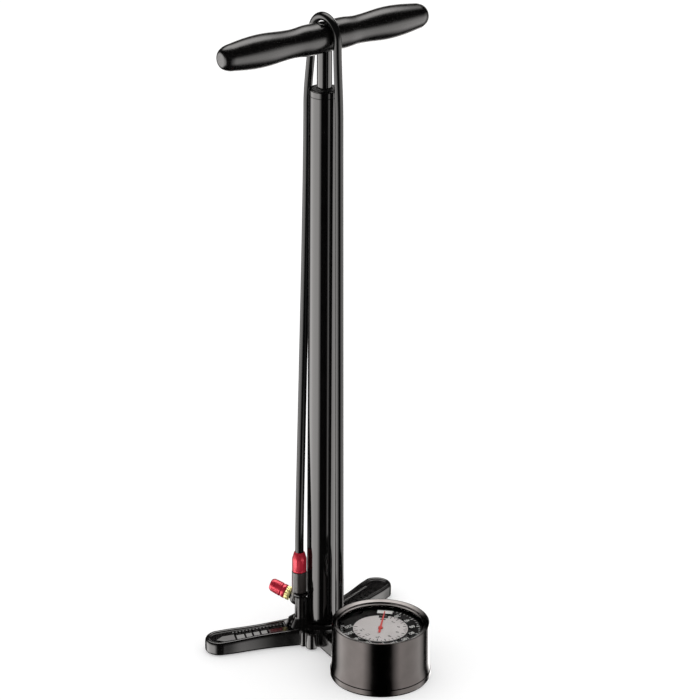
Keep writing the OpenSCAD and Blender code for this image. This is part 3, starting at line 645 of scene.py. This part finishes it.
def leg_piece(name, sign):
    z_foot = pad_lo.z + 1.0 * MM
    # (inset, height above foot or below top, measured from) rows from the underside to the panel
    rows = [(2.0, 0.0, 0), (0.7, 0.3, 0), (0.15, 1.1, 0), (0.0, 2.2, 0), (0.0, 2.6, 0),
            (0.0, -3.4, 1), (0.05, -3.0, 1), (0.3, -1.6, 1), (0.8, -0.6, 1), (1.5, -0.12, 1),
            (2.0, 0.0, 1), (2.2, 0.0, 1), (3.2, 0.0, 1), (3.35, -0.02, 1), (4.1, -0.25, 1),
            (4.3, -0.4, 1), (4.6, -1.15, 1), (4.8, -1.3, 1), (5.4, -1.3, 1)]
    verts, faces = [], []
    for inset, dz, from_top in rows:
        deep = inset > 3.5
        root = (34 * MM if deep else 12 * MM) + (inset * MM if deep else 0)
        for x, y in leg_outline(inset * MM, root):
            z = (leg_top(x) if from_top else z_foot) + dz * MM
            verts.append(Vector((x, y, z)))
    n = len(leg_outline(0, 12 * MM))
    for k in range(len(rows) - 1):
        for i in range(n):
            j = (i + 1) % n
            faces.append((k * n + i, k * n + j, (k + 1) * n + j, (k + 1) * n + i))
    half = n // 2
    for base, flip in ((0, False), ((len(rows) - 1) * n, True)):
        for i in range(half):
            quad = [base + i, base + i + 1, base + n - 2 - i, base + n - 1 - i]
            quad = list(dict.fromkeys(quad))
            if len(quad) > 2:
                faces.append(tuple(quad if flip else quad[::-1]))
    parts = [(verts, faces)]
    # small bars along the far side, a sloping rail along the near side and an arrow at the tip
    floor = -1.3 * MM
    near = -sign
    for i in range(15):
        x = (42 + 3.6 * i) * MM
        y = -near * 5.2 * MM
        parts.append(bar((x, y), (x + 1.7 * MM, y), 1.7 * MM, floor, 0.9 * MM))
    for x0, x1 in ((38, 58), (60, 66), (68, 74), (76, 82), (84, 92)):
        parts.append(ramp_bar(x0 * MM, x1 * MM, near * 9.2 * MM, near * 3.2 * MM, floor))
    parts.append(ramp_bar(94 * MM, 113 * MM, near * 9.0 * MM, near * 0.6 * MM, floor, 7 * MM))
    parts = joined(parts)
    angle = leg_angle if sign > 0 else math.pi - leg_angle
    obj = add_mesh(name, *moved(parts, Matrix.Rotation(angle, 4, "Z")), sharp=50)
    return finish_piece(obj, "cast_paint", BASE)


def ramp_bar(x0, x1, near_y, far_y, z_drop, point=0.0):
    """A raised bar whose top climbs from the near side of a leg's panel to the far side; its
    outer end is drawn out to a point."""
    outline = [(x0, near_y), (x1 - point, near_y), (x1, (near_y + far_y) / 2), (x1 - point, far_y),
               (x0, far_y)]
    if (x1 - x0) * (far_y - near_y) < 0:
        outline = outline[::-1]
    verts = []
    for level in (0, 1):
        for x, y in outline:
            climb = 0.15 * MM + 1.15 * MM * (y - near_y) / (far_y - near_y)
            verts.append(Vector((x, y, leg_top(x) + z_drop + (climb if level else -0.3 * MM))))
    n = len(outline)
    faces = [tuple(range(n))[::-1], tuple(range(n, 2 * n))]
    faces += [(i, (i + 1) % n, n + (i + 1) % n, n + i) for i in range(n)]
    return verts, faces


def bar(p, q, half, z_drop, height):
    """A raised rounded bar on a leg's sloping panel."""
    a, b = Vector((*p, 0)), Vector((*q, 0))
    along = (b - a).normalized()
    across = Vector((-along.y, along.x, 0))
    rings = []
    for inset, h in ((0.0, -0.3 * MM), (0.0, height * 0.6), (0.35 * MM, height)):
        corners = []
        for end, sign in ((a, -1), (b, 1)):
            for s in (1, -1):
                side = s * -sign
                corners.append(end + along * sign * (0.4 * MM - inset) + across * side * (half - inset))
        rings.append([Vector((c.x, c.y, leg_top(c.x) + z_drop + h)) for c in corners])
    verts = [v for ring in rings for v in ring]
    faces = [(3, 2, 1, 0), (8, 9, 10, 11)]
    for k in range(2):
        for i in range(4):
            j = (i + 1) % 4
            faces.append((4 * k + i, 4 * k + j, 4 * k + 4 + j, 4 * k + 4 + i))
    return verts, faces


def hub_piece():
    z0 = pad_lo.z + 1.0 * MM
    socket = 20.3 * MM
    case_r = case_hi.x
    arm = [(-18, 0), (-18, -18), (-23.5, -56), (23.5, -56), (18, -18), (18, 0)]
    arm = [(x * MM, y * MM) for x, y in arm]
    post = (dock.x - 1.2 * MM, dock.y - 3.8 * MM)
    dock_top = casting_hi.z
    flange = 49.65 * MM
    parts = [
        lathe_part([(AXIS, z0), (24.5 * MM, z0), (24 * MM, 15 * MM), (20.8 * MM, socket),
                    (AXIS, socket)]),
        prism(arm, z0, 16.3 * MM),
        can(44 * MM, z0, 6.4 * MM, (gauge.x, gauge.y)),
        can(5.9 * MM, 12 * MM, flange - 1 * MM, post),
        can(12 * MM, 13 * MM, 26 * MM, post, 5.6 * MM),
        can(7.5 * MM, flange - 2 * MM, flange, post),
        can(2.5 * MM, flange - 3 * MM, dock_top, (dock.x, dock.y)),
    ]
    web_angle = math.atan2(post[1], post[0])
    web = prism([(15 * MM, -2.6 * MM), (24 * MM, -2.6 * MM), (24 * MM, 2.6 * MM),
                 (15 * MM, 2.6 * MM)], 12 * MM, 43.5 * MM)
    parts.append(moved(web, Matrix.Rotation(web_angle, 4, "Z")))
    for s in (-1, 1):
        parts.append(can(6 * MM, z0, 16.3 * MM, (s * 24.2 * MM, -14.7 * MM)))
        parts.append(can(2.7 * MM, z0, 16.0 * MM, (s * 29.2 * MM, -6.6 * MM)))
        tie = [(15, -10.7), (24.2, -14.7), (29.2, -6.6), (20, 0)]
        parts.append(prism([(s * x * MM, y * MM) for x, y in tie[::s]], z0, 15.6 * MM))
    for s in (1, -1):
        angle = leg_angle if s > 0 else math.pi - leg_angle
        root = prism([(0, -14.8 * MM), (30 * MM, -14.6 * MM), (30 * MM, 14.6 * MM), (0, 14.8 * MM)],
                     z0, 16.6 * MM)
        parts.append(moved(root, Matrix.Rotation(angle, 4, "Z")))
    fin = [(0, 14), (15, 14), (11, 25), (0, 29)]
    n = len(fin)
    fin_verts = [Vector((x * MM, y * MM, z * MM)) for y in (-1.2, 1.2) for x, z in fin]
    fin_faces = [tuple(range(n)), tuple(range(2 * n - 1, n - 1, -1))]
    fin_faces += [(i, n + i, n + (i + 1) % n, (i + 1) % n) for i in range(n)]
    place_fin = Matrix.Translation((dock.x, dock.y, 0)) @ Matrix.Rotation(math.pi - leg_angle, 4, "Z")
    parts.append(moved((fin_verts, fin_faces), place_fin))
    obj = raw("base_hub", joined(parts))
    remesh = obj.modifiers.new("cast", "REMESH")
    remesh.mode = "VOXEL"
    remesh.voxel_size = 0.8 * MM
    smooth = obj.modifiers.new("fillets", "SMOOTH")
    smooth.factor = 0.5
    smooth.iterations = 5
    bpy.context.view_layer.update()
    bake_modifiers(obj)
    fitting = middle("hose_fitting")
    cut(obj, [raw("socket_cutter", can(barrel_r + 0.05 * MM, 8 * MM, 80 * MM)),
              raw("spot_cutter", can(7.5 * MM, 16.3 * MM, 40 * MM, (fitting.x, fitting.y))),
              raw("case_cutter", can(case_r + 0.1 * MM, 6.45 * MM, 80 * MM, (gauge.x, gauge.y)))])
    tidy(obj.data, 50)
    finish_piece(obj, "cast_paint", BASE, "base_casting")


# ---------------------------------------------------------------- gauge
def at_gauge(z=0.0):
    return Matrix.Translation((gauge.x, gauge.y, z))


def gauge_shell():
    foot_r = case_hi.x
    z0, z1 = case_lo.z, case_hi.z
    inner = gauge_r - 4 * MM
    profile = [(AXIS, z0)]
    profile += rounded([(foot_r - 0.3 * MM, z0, 0), (foot_r, z0 + 0.3 * MM, 0.2 * MM),
                        (gauge_r + 0.12 * MM, z0 + 6 * MM, 0), (gauge_r + 0.02 * MM, z0 + 9 * MM, 0),
                        (gauge_r, z0 + 11 * MM, 0), (gauge_r, z0 + 12 * MM, 0),
                        (gauge_r, z1, 0.35 * MM), (gauge_r - RIM_WALL, z1, 0.2 * MM),
                        (gauge_r - RIM_WALL, bezel_foot, 0.1 * MM),
                        (lens_hi.x + 0.1 * MM, bezel_foot, 0.1 * MM),
                        (lens_hi.x + 0.1 * MM, lens_lo.z - 0.05 * MM, 0),
                        (inner, lens_lo.z - 0.05 * MM, 0), (inner, dial_z - 2 * MM, 0),
                        (inner + 1.5 * MM, z0 + 2 * MM, 0)], closed=False)
    profile += [(AXIS, z0 + 2 * MM)]
    finish_piece(lathe("gauge_drum", profile, at_gauge(), 160), "gauge_metal", BASE, "gauge_case")
    r0, r1 = ring_hi.x - 6.4 * MM, ring_hi.x
    ring = rounded([(r0, ring_lo.z), (r1 - 0.8 * MM, ring_lo.z, 1.0 * MM),
                    (r1, ring_lo.z + 1.4 * MM, 1.2 * MM), (r1, ring_hi.z, 0.4 * MM),
                    (r0, ring_hi.z)], 0.2 * MM)
    finish_piece(lathe("gauge_foot", ring, at_gauge(), 160), "gauge_metal", BASE,
                 "gauge_foot_ring")


def bezel_piece():
    z0, z1 = bezel_foot, gauge_top
    bore = lens_hi.x - 4.65 * MM
    outer = gauge_r - RIM_WALL - 0.03 * MM
    profile = rounded([(bore, z0), (outer, z0, 0.1 * MM), (outer, z1, 0.35 * MM),
                       (outer - 0.4 * MM, z1, 0.2 * MM), (bore + 1.9 * MM, z1 - 1.1 * MM, 0.5 * MM),
                       (bore + 1.5 * MM, z0 + 0.7 * MM, 0.3 * MM),
                       (bore + 1.0 * MM, z0 + 0.5 * MM, 0.3 * MM), (bore, z0 + 0.3 * MM, 0.15 * MM)],
                      0.1 * MM)
    finish_piece(lathe("gauge_rim", profile, at_gauge(), 160), "bezel_metal", BASE, "gauge_bezel")


def dial_angle(share):
    """Direction of the scale at a share of full pressure, in the frame, clockwise from above."""
    return math.radians(45 - 270 * share)


def ticks(name, radii, count, width, z, long_every, slot):
    """Radial scale marks, each a thin raised bar; every long_every-th is longer and wider."""
    parts = []
    for i in range(count + 1):
        a = dial_angle(i / count)
        long = i % long_every == 0
        r0 = radii[0] if long else radii[0] + 0.45 * (radii[1] - radii[0])
        half = (width if long else 0.55 * width) / 2
        u = Vector((math.cos(a), math.sin(a), 0))
        v = Vector((-u.y, u.x, 0))
        quad = [u * r0 - v * half, u * radii[1] - v * half, u * radii[1] + v * half, u * r0 + v * half]
        parts.append(prism([(p.x, p.y) for p in quad], z, z + 0.08 * MM))
    obj = add_mesh(name, *moved(joined(parts), at_gauge()), sharp=30)
    return finish_piece(obj, slot, BASE)


def numerals(name, labels, radius, size, z, slot):
    """Scale numbers standing upright for a reader behind the pump, as thin raised meshes."""
    parts = []
    for share, label in labels:
        a = dial_angle(share)
        curve = bpy.data.curves.new("numeral", "FONT")
        curve.body = label
        curve.size = size
        curve.align_x = "CENTER"
        curve.align_y = "CENTER"
        curve.extrude = 0.04 * MM
        curve.resolution_u = 3
        text = bpy.data.objects.new("numeral", curve)
        bpy.context.scene.collection.objects.link(text)
        bpy.context.view_layer.update()
        mesh = bpy.data.meshes.new_from_object(text.evaluated_get(bpy.context.evaluated_depsgraph_get()))
        where = at_gauge(z + 0.04 * MM) @ Matrix.Translation(
            (radius * math.cos(a), radius * math.sin(a), 0)) @ Matrix.Rotation(math.pi, 4, "Z")
        parts.append(([where @ v.co for v in mesh.vertices],
                      [tuple(p.vertices) for p in mesh.polygons]))
        bpy.data.objects.remove(text)
        bpy.data.curves.remove(curve)
        bpy.data.meshes.remove(mesh)
    obj = add_mesh(name, *joined(parts), sharp=30)
    return finish_piece(obj, slot, BASE)


def stop_mark(name, radius, long, wide, z, slot):
    """A tangential bar at the zero of a scale."""
    a = dial_angle(0)
    outline = [(radius - wide / 2, -long / 2), (radius + wide / 2, -long / 2),
               (radius + wide / 2, long / 2), (radius - wide / 2, long / 2)]
    turn = at_gauge() @ Matrix.Rotation(a, 4, "Z")
    obj = add_mesh(name, *moved(prism(outline, z, z + 0.08 * MM), turn), sharp=30)
    return finish_piece(obj, slot, BASE)


def dial_pieces():
    top = 220
    ticks("outer_scale", (36.5 * MM, 40 * MM), top // 5, 0.9 * MM, dial_z, 4, "dial_white")
    numerals("outer_numbers", [(p / top, str(p)) for p in range(20, top + 1, 20)], 32.2 * MM,
             6.2 * MM, dial_z, "dial_white")
    z = inner_dial_z
    ticks("inner_scale", (23.2 * MM, 26.8 * MM), 30, 0.95 * MM, z, 2, "dial_ink")
    numerals("inner_numbers", [(b / 15, str(b)) for b in range(2, 15, 2)], 18.6 * MM, 5.6 * MM, z,
             "dial_ink")
    stop_mark("outer_stop", 36.2 * MM, 15.5 * MM, 6.4 * MM, dial_z, "dial_white")
    stop_mark("inner_stop", 24.6 * MM, 9.5 * MM, 4.6 * MM, z, "dial_ink")
    stop_mark("inner_stop_bar", 19.4 * MM, 5.5 * MM, 1.8 * MM, z, "dial_ink")


def needle_piece():
    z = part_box("gauge_needle")[0].z + 0.3 * MM
    turn = at_gauge() @ Matrix.Rotation(dial_angle(0), 4, "Z")
    blade = [(-10, -1.0), (-9, -1.2), (0, -0.95), (35, -0.5), (36, 0), (35, 0.5), (0, 0.95),
             (-9, 1.2), (-10, 1.0)]
    part = prism([(x * MM, y * MM) for x, y in blade], z, z + 0.5 * MM)
    hub = lathe_part(rounded([(1.05 * MM, z - 0.3 * MM), (2.2 * MM, z - 0.3 * MM),
                              (2.2 * MM, z + 1.15 * MM, 0.5 * MM), (0.01 * MM, z + 1.15 * MM),
                              (0.01 * MM, z + 0.5 * MM), (1.05 * MM, z + 0.5 * MM)], 0.1 * MM), 48)
    obj = add_mesh("pressure_needle", *moved(joined([part, hub]), turn), sharp=35)
    finish_piece(obj, "needle_red", POINTER, "gauge_needle")


# ---------------------------------------------------------------- chuck
def at_dock():
    return Matrix.Translation((dock.x, dock.y, 0))


def along_side():
    """+Z along the side head, from the knuckle's centre."""
    return Matrix.Translation(knuckle) @ side_axis.to_track_quat("Z", "Y").to_matrix().to_4x4()


def chuck_pieces():
    r = 7.7 * MM
    z0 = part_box("chuck_body")[1].z - 20.6 * MM
    z1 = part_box("chuck_body")[1].z
    body = lathe_part(rounded([(2.6 * MM, z0), (r - 0.3 * MM, z0, 0.5 * MM), (r, z0 + 1 * MM, 0.3 * MM),
                               (r, z1, 0.5 * MM), (5.1 * MM, z1), (5.1 * MM, z1 - 9 * MM),
                               (2.6 * MM, z1 - 10 * MM)], 0.1 * MM), 96, at_dock())
    obj = raw("chuck_barrel", body)
    finish_piece(obj, "chuck_black", CHUCK, "chuck_body")
    ball = lathe_part([(AXIS if k in (0, 24) else 7.2 * MM * math.sin(math.pi * k / 24),
                        -7.2 * MM * math.cos(math.pi * k / 24)) for k in range(25)], 48,
                      Matrix.Translation(knuckle))
    top = Vector((dock.x + 0.2 * MM, dock.y + 0.7 * MM, 58 * MM))
    lean = top - knuckle
    neck = lathe_part([(AXIS, 0), (6.6 * MM, 0), (6.4 * MM, lean.length), (AXIS, lean.length)], 48,
                      Matrix.Translation(knuckle) @ lean.to_track_quat("Z", "Y").to_matrix().to_4x4())
    spigot = lathe_part([(AXIS, 0), (4 * MM, 0), (4 * MM, 9.2 * MM), (AXIS, 9.2 * MM)], 48, along_side())
    arm = raw("chuck_knuckle", joined([ball, neck, spigot]))
    remesh = arm.modifiers.new("cast", "REMESH")
    remesh.mode = "VOXEL"
    remesh.voxel_size = 0.4 * MM
    smooth = arm.modifiers.new("fillets", "SMOOTH")
    smooth.iterations = 5
    bpy.context.view_layer.update()
    bake_modifiers(arm)
    post = (dock.x - 1.2 * MM, dock.y - 3.8 * MM)
    cut(arm, [raw("post_cutter", can(7.8 * MM, 0, z0 + 0.01 * MM, post)),
              raw("pin_cutter", can(2.6 * MM, 0, z0 + 8 * MM, (dock.x, dock.y))),
              raw("ring_cutter", lathe_part([(4.06 * MM, 6.35 * MM), (6.9 * MM, 6.35 * MM),
                                             (6.9 * MM, 16 * MM), (4.06 * MM, 16 * MM)], 64,
                                            along_side()))])
    tidy(arm.data, 50)
    finish_piece(arm, "chuck_black", CHUCK)
    ferrule()
    side_head()


def ferrule():
    h = ferrule_hi.z - ferrule_lo.z
    z = ferrule_lo.z
    outer = [(6.9, 0), (7.5, 0.7), (7.5, 1.5), (7.25, 1.9), (7.5, 2.3), (7.55, 12.3), (7.45, 13.4),
             (6.9, 14.6), (5.6, h / MM - 0.7), (5.1, h / MM - 0.15), (4.75, h / MM)]
    inner = [(4.55, h / MM - 0.3), (4.52, 2.3), (5.05, 2.2), (5.05, 0)]
    profile = [(a * MM, z + b * MM) for a, b in outer + inner]
    turn = at_dock()
    n = len(profile)
    segments = 144
    flutes = 12
    verts, faces = [], []
    for k in range(segments):
        a = TAU * k / segments
        groove = 0.5 + 0.5 * math.cos(flutes * a)
        for i, (r, zz) in enumerate(profile):
            depth = 0.2 * MM * (1 - groove) if 4 <= i <= 6 else 0.0
            verts.append(turn @ Vector(((r - depth) * math.cos(a), (r - depth) * math.sin(a), zz)))
    for k in range(segments):
        k2 = (k + 1) % segments
        for i in range(n):
            j = (i + 1) % n
            faces.append((k * n + i, k2 * n + i, k2 * n + j, k * n + j))
    finish_piece(add_mesh("red_ferrule", verts, faces, 50), "red_anodised", CHUCK, "hose_ferrule")


def side_head():
    turn = along_side()
    # knurled gold ring
    r = 6.5 * MM
    t0, t1 = 6.4 * MM, 11.95 * MM
    rows = [(4.06, t0), (r / MM - 0.5, t0), (r / MM, t0 + 0.5 * MM), (r / MM, t1 - 0.5 * MM),
            (r / MM - 0.5, t1), (4.06, t1)]
    segments, ridges = 160, 20
    verts, faces = [], []
    for k in range(segments):
        a = TAU * k / segments
        dip = 0.38 * MM * (0.5 - 0.5 * math.cos(ridges * a))
        for i, (rr, t) in enumerate(rows):
            radius = rr * MM - (dip if i in (2, 3) else 0.4 * dip if i in (1, 4) else 0)
            verts.append(turn @ Vector((radius * math.cos(a), radius * math.sin(a), t)))
    n = len(rows)
    for k in range(segments):
        k2 = (k + 1) % segments
        for i in range(n):
            j = (i + 1) % n
            faces.append((k * n + i, k2 * n + i, k2 * n + j, k * n + j))
    finish_piece(add_mesh("gold_ring", verts, faces, 50), "gold_anodised", SIDE, "lock_collar")
    # red cap with a groove and shallow ribs
    cap = [(1.6, 12.0), (6.3, 12.0), (6.7, 12.4), (6.7, 15.2), (6.2, 15.7), (6.2, 16.5), (6.65, 17.1)]
    for i in range(7):
        t = 17.6 + 1.45 * i
        fall = 0.5 * (i / 7) ** 2
        cap += [(6.7 - fall, t), (6.7 - fall, t + 0.8), (6.5 - fall, t + 1.1)]
    cap += [(5.9, 28.0), (5.4, 28.9), (4.8, 29.5), (4.2, 29.8), (4.0, 29.4), (4.0, 20.1), (1.6, 20.1)]
    profile = [(a * MM, b * MM) for a, b in cap]
    finish_piece(lathe("red_cap", profile, turn, 96, sharp=60), "red_anodised", SIDE, "side_cap")


# ---------------------------------------------------------------- build the pieces
barrel_piece()
cap_piece()
rod_piece()
handle_piece()
bolt_piece()
hose_pieces()
hub_piece()
leg_piece("right_leg", 1)
leg_piece("left_leg", -1)
gauge_shell()
bezel_piece()
dial_pieces()
needle_piece()
chuck_pieces()


# ---------------------------------------------------------------- stage: floor, light, camera
CAMERA_AZIMUTH = math.radians(-37)
back = Vector((math.sin(CAMERA_AZIMUTH), -math.cos(CAMERA_AZIMUTH), 0))
right = Vector((math.cos(CAMERA_AZIMUTH), math.sin(CAMERA_AZIMUTH), 0))


def floor_piece():
    mesh = bpy.data.meshes.new("floor")
    size = 8.0
    z = floor_z - 0.05 * MM
    mesh.from_pydata([(-size, -size, z), (size, -size, z), (size, size, z), (-size, size, z)], [],
                     [(0, 1, 2, 3)])
    obj = bpy.data.objects.new("floor", mesh)
    bpy.context.scene.collection.objects.link(obj)
    mat, tree, shader, coord = node_tree("floor_white")
    tree.links.new(ramp(tree, noise(tree, coord, 3, 2.0), [(0.2, 0.72), (0.8, 0.74)]),
                   shader.inputs["Base Color"])
    shader.inputs["Roughness"].default_value = 0.9
    shader.inputs["Specular IOR Level"].default_value = 0.0
    shader.inputs["Emission Color"].default_value = (1, 1, 1, 1)
    shader.inputs["Emission Strength"].default_value = 0.34
    mesh.materials.append(mat)
    obj.visible_glossy = False


# Soft boxes: compass bearing from the camera's side (+ is to its right), elevation of the middle,
# half width, half height (all degrees) and strength.
SOFT_BOXES = {
    "left": (-75, -20, 32, 12, 5.5),
    "right": (75, -20, 28, 12, 4.0),
    "back": (168, -20, 8, 12, 3.0),
    "overhead": (180, 64, 45, 10, 6.0),
}
# degrees over which each box fades out past its edge
SOFT_EDGE = 22


def studio_world():
    """White to the camera and to matt surfaces; four soft boxes in the dark to glossy ones."""
    world = bpy.data.worlds.new("studio")
    bpy.context.scene.world = world
    world.use_nodes = True
    tree = world.node_tree
    tree.nodes.clear()
    direction = tree.nodes.new("ShaderNodeTexCoord").outputs["Generated"]

    def along(vector):
        node = tree.nodes.new("ShaderNodeVectorMath")
        node.operation = "DOT_PRODUCT"
        node.inputs[1].default_value = vector
        tree.links.new(direction, node.inputs[0])
        return node.outputs["Value"]

    def fade(angle, half):
        """1 within half degrees of zero, falling smoothly to 0 over the soft edge."""
        away = math_node(tree, "ABSOLUTE", angle)
        share = math_node(tree, "MULTIPLY", away, 1 / math.pi)
        return ramp(tree, share, [(0.0, 1.0), (half / 180, 1.0), ((half + SOFT_EDGE) / 180, 0.0)])

    elevation = math_node(tree, "ARCSINE", along(Vector((0, 0, 1))))
    total = None
    for bearing, rise, half_width, half_height, strength in SOFT_BOXES.values():
        turn = math.radians(bearing)
        ahead = back * math.cos(turn) + right * math.sin(turn)
        aside = right * math.cos(turn) - back * math.sin(turn)
        across = fade(math_node(tree, "ARCTAN2", along(aside), along(ahead)), half_width)
        level = math_node(tree, "SUBTRACT", elevation, math.radians(rise))
        lit = math_node(tree, "MULTIPLY", across, fade(level, half_height))
        lit = math_node(tree, "MULTIPLY", lit, strength)
        total = lit if total is None else math_node(tree, "ADD", total, lit)
    glossy = tree.nodes.new("ShaderNodeBackground")
    glossy.inputs["Color"].default_value = (1, 0.975, 0.955, 1)
    tree.links.new(total, glossy.inputs["Strength"])
    plain = tree.nodes.new("ShaderNodeBackground")
    plain.inputs["Color"].default_value = (1, 1, 1, 1)
    path = tree.nodes.new("ShaderNodeLightPath")
    choose = tree.nodes.new("ShaderNodeMixShader")
    tree.links.new(path.outputs["Is Glossy Ray"], choose.inputs[0])
    tree.links.new(plain.outputs["Background"], choose.inputs[1])
    tree.links.new(glossy.outputs["Background"], choose.inputs[2])
    out = tree.nodes.new("ShaderNodeOutputWorld")
    tree.links.new(choose.outputs["Shader"], out.inputs["Surface"])
    if getattr(world, "cycles", None) is not None:
        world.cycles.sampling_method = "NONE"


def camera_piece():
    """Tall-format view camera: level, far away, with its picture shifted down onto the pump."""
    data = bpy.data.cameras.new("camera")
    cam = bpy.data.objects.new("camera", data)
    bpy.context.scene.collection.objects.link(cam)
    bpy.context.scene.camera = cam
    distance, height = 3.61, 1.71
    data.sensor_width = 36
    data.lens = 181.06
    data.clip_start, data.clip_end = 0.1, 50
    cam.location = back * distance + Vector((0, 0, height))
    roll = math.radians(0.24)
    cam.rotation_euler = (Matrix.Rotation(CAMERA_AZIMUTH, 3, "Z")
                          @ Matrix.Rotation(math.pi / 2, 3, "X")
                          @ Matrix.Rotation(roll, 3, "Z")).to_euler()
    shift = {"shift_x": 0.0297, "shift_y": -1.9733}
    # The shift holds only while the camera stands here. A camera moved to another view has none,
    # so that view is centred on the object.
    for prop, value in shift.items():
        driver = data.driver_add(prop).driver
        driver.type = "SCRIPTED"
        var = driver.variables.new()
        var.name = "px"
        var.type = "TRANSFORMS"
        var.targets[0].id = cam
        var.targets[0].transform_type = "LOC_X"
        var.targets[0].transform_space = "WORLD_SPACE"
        driver.expression = f"{value} if abs(px - {cam.location.x:.6f}) < 0.0001 else 0.0"


floor_piece()
studio_world()
camera_piece()
bpy.context.scene.view_settings.view_transform = "Standard"
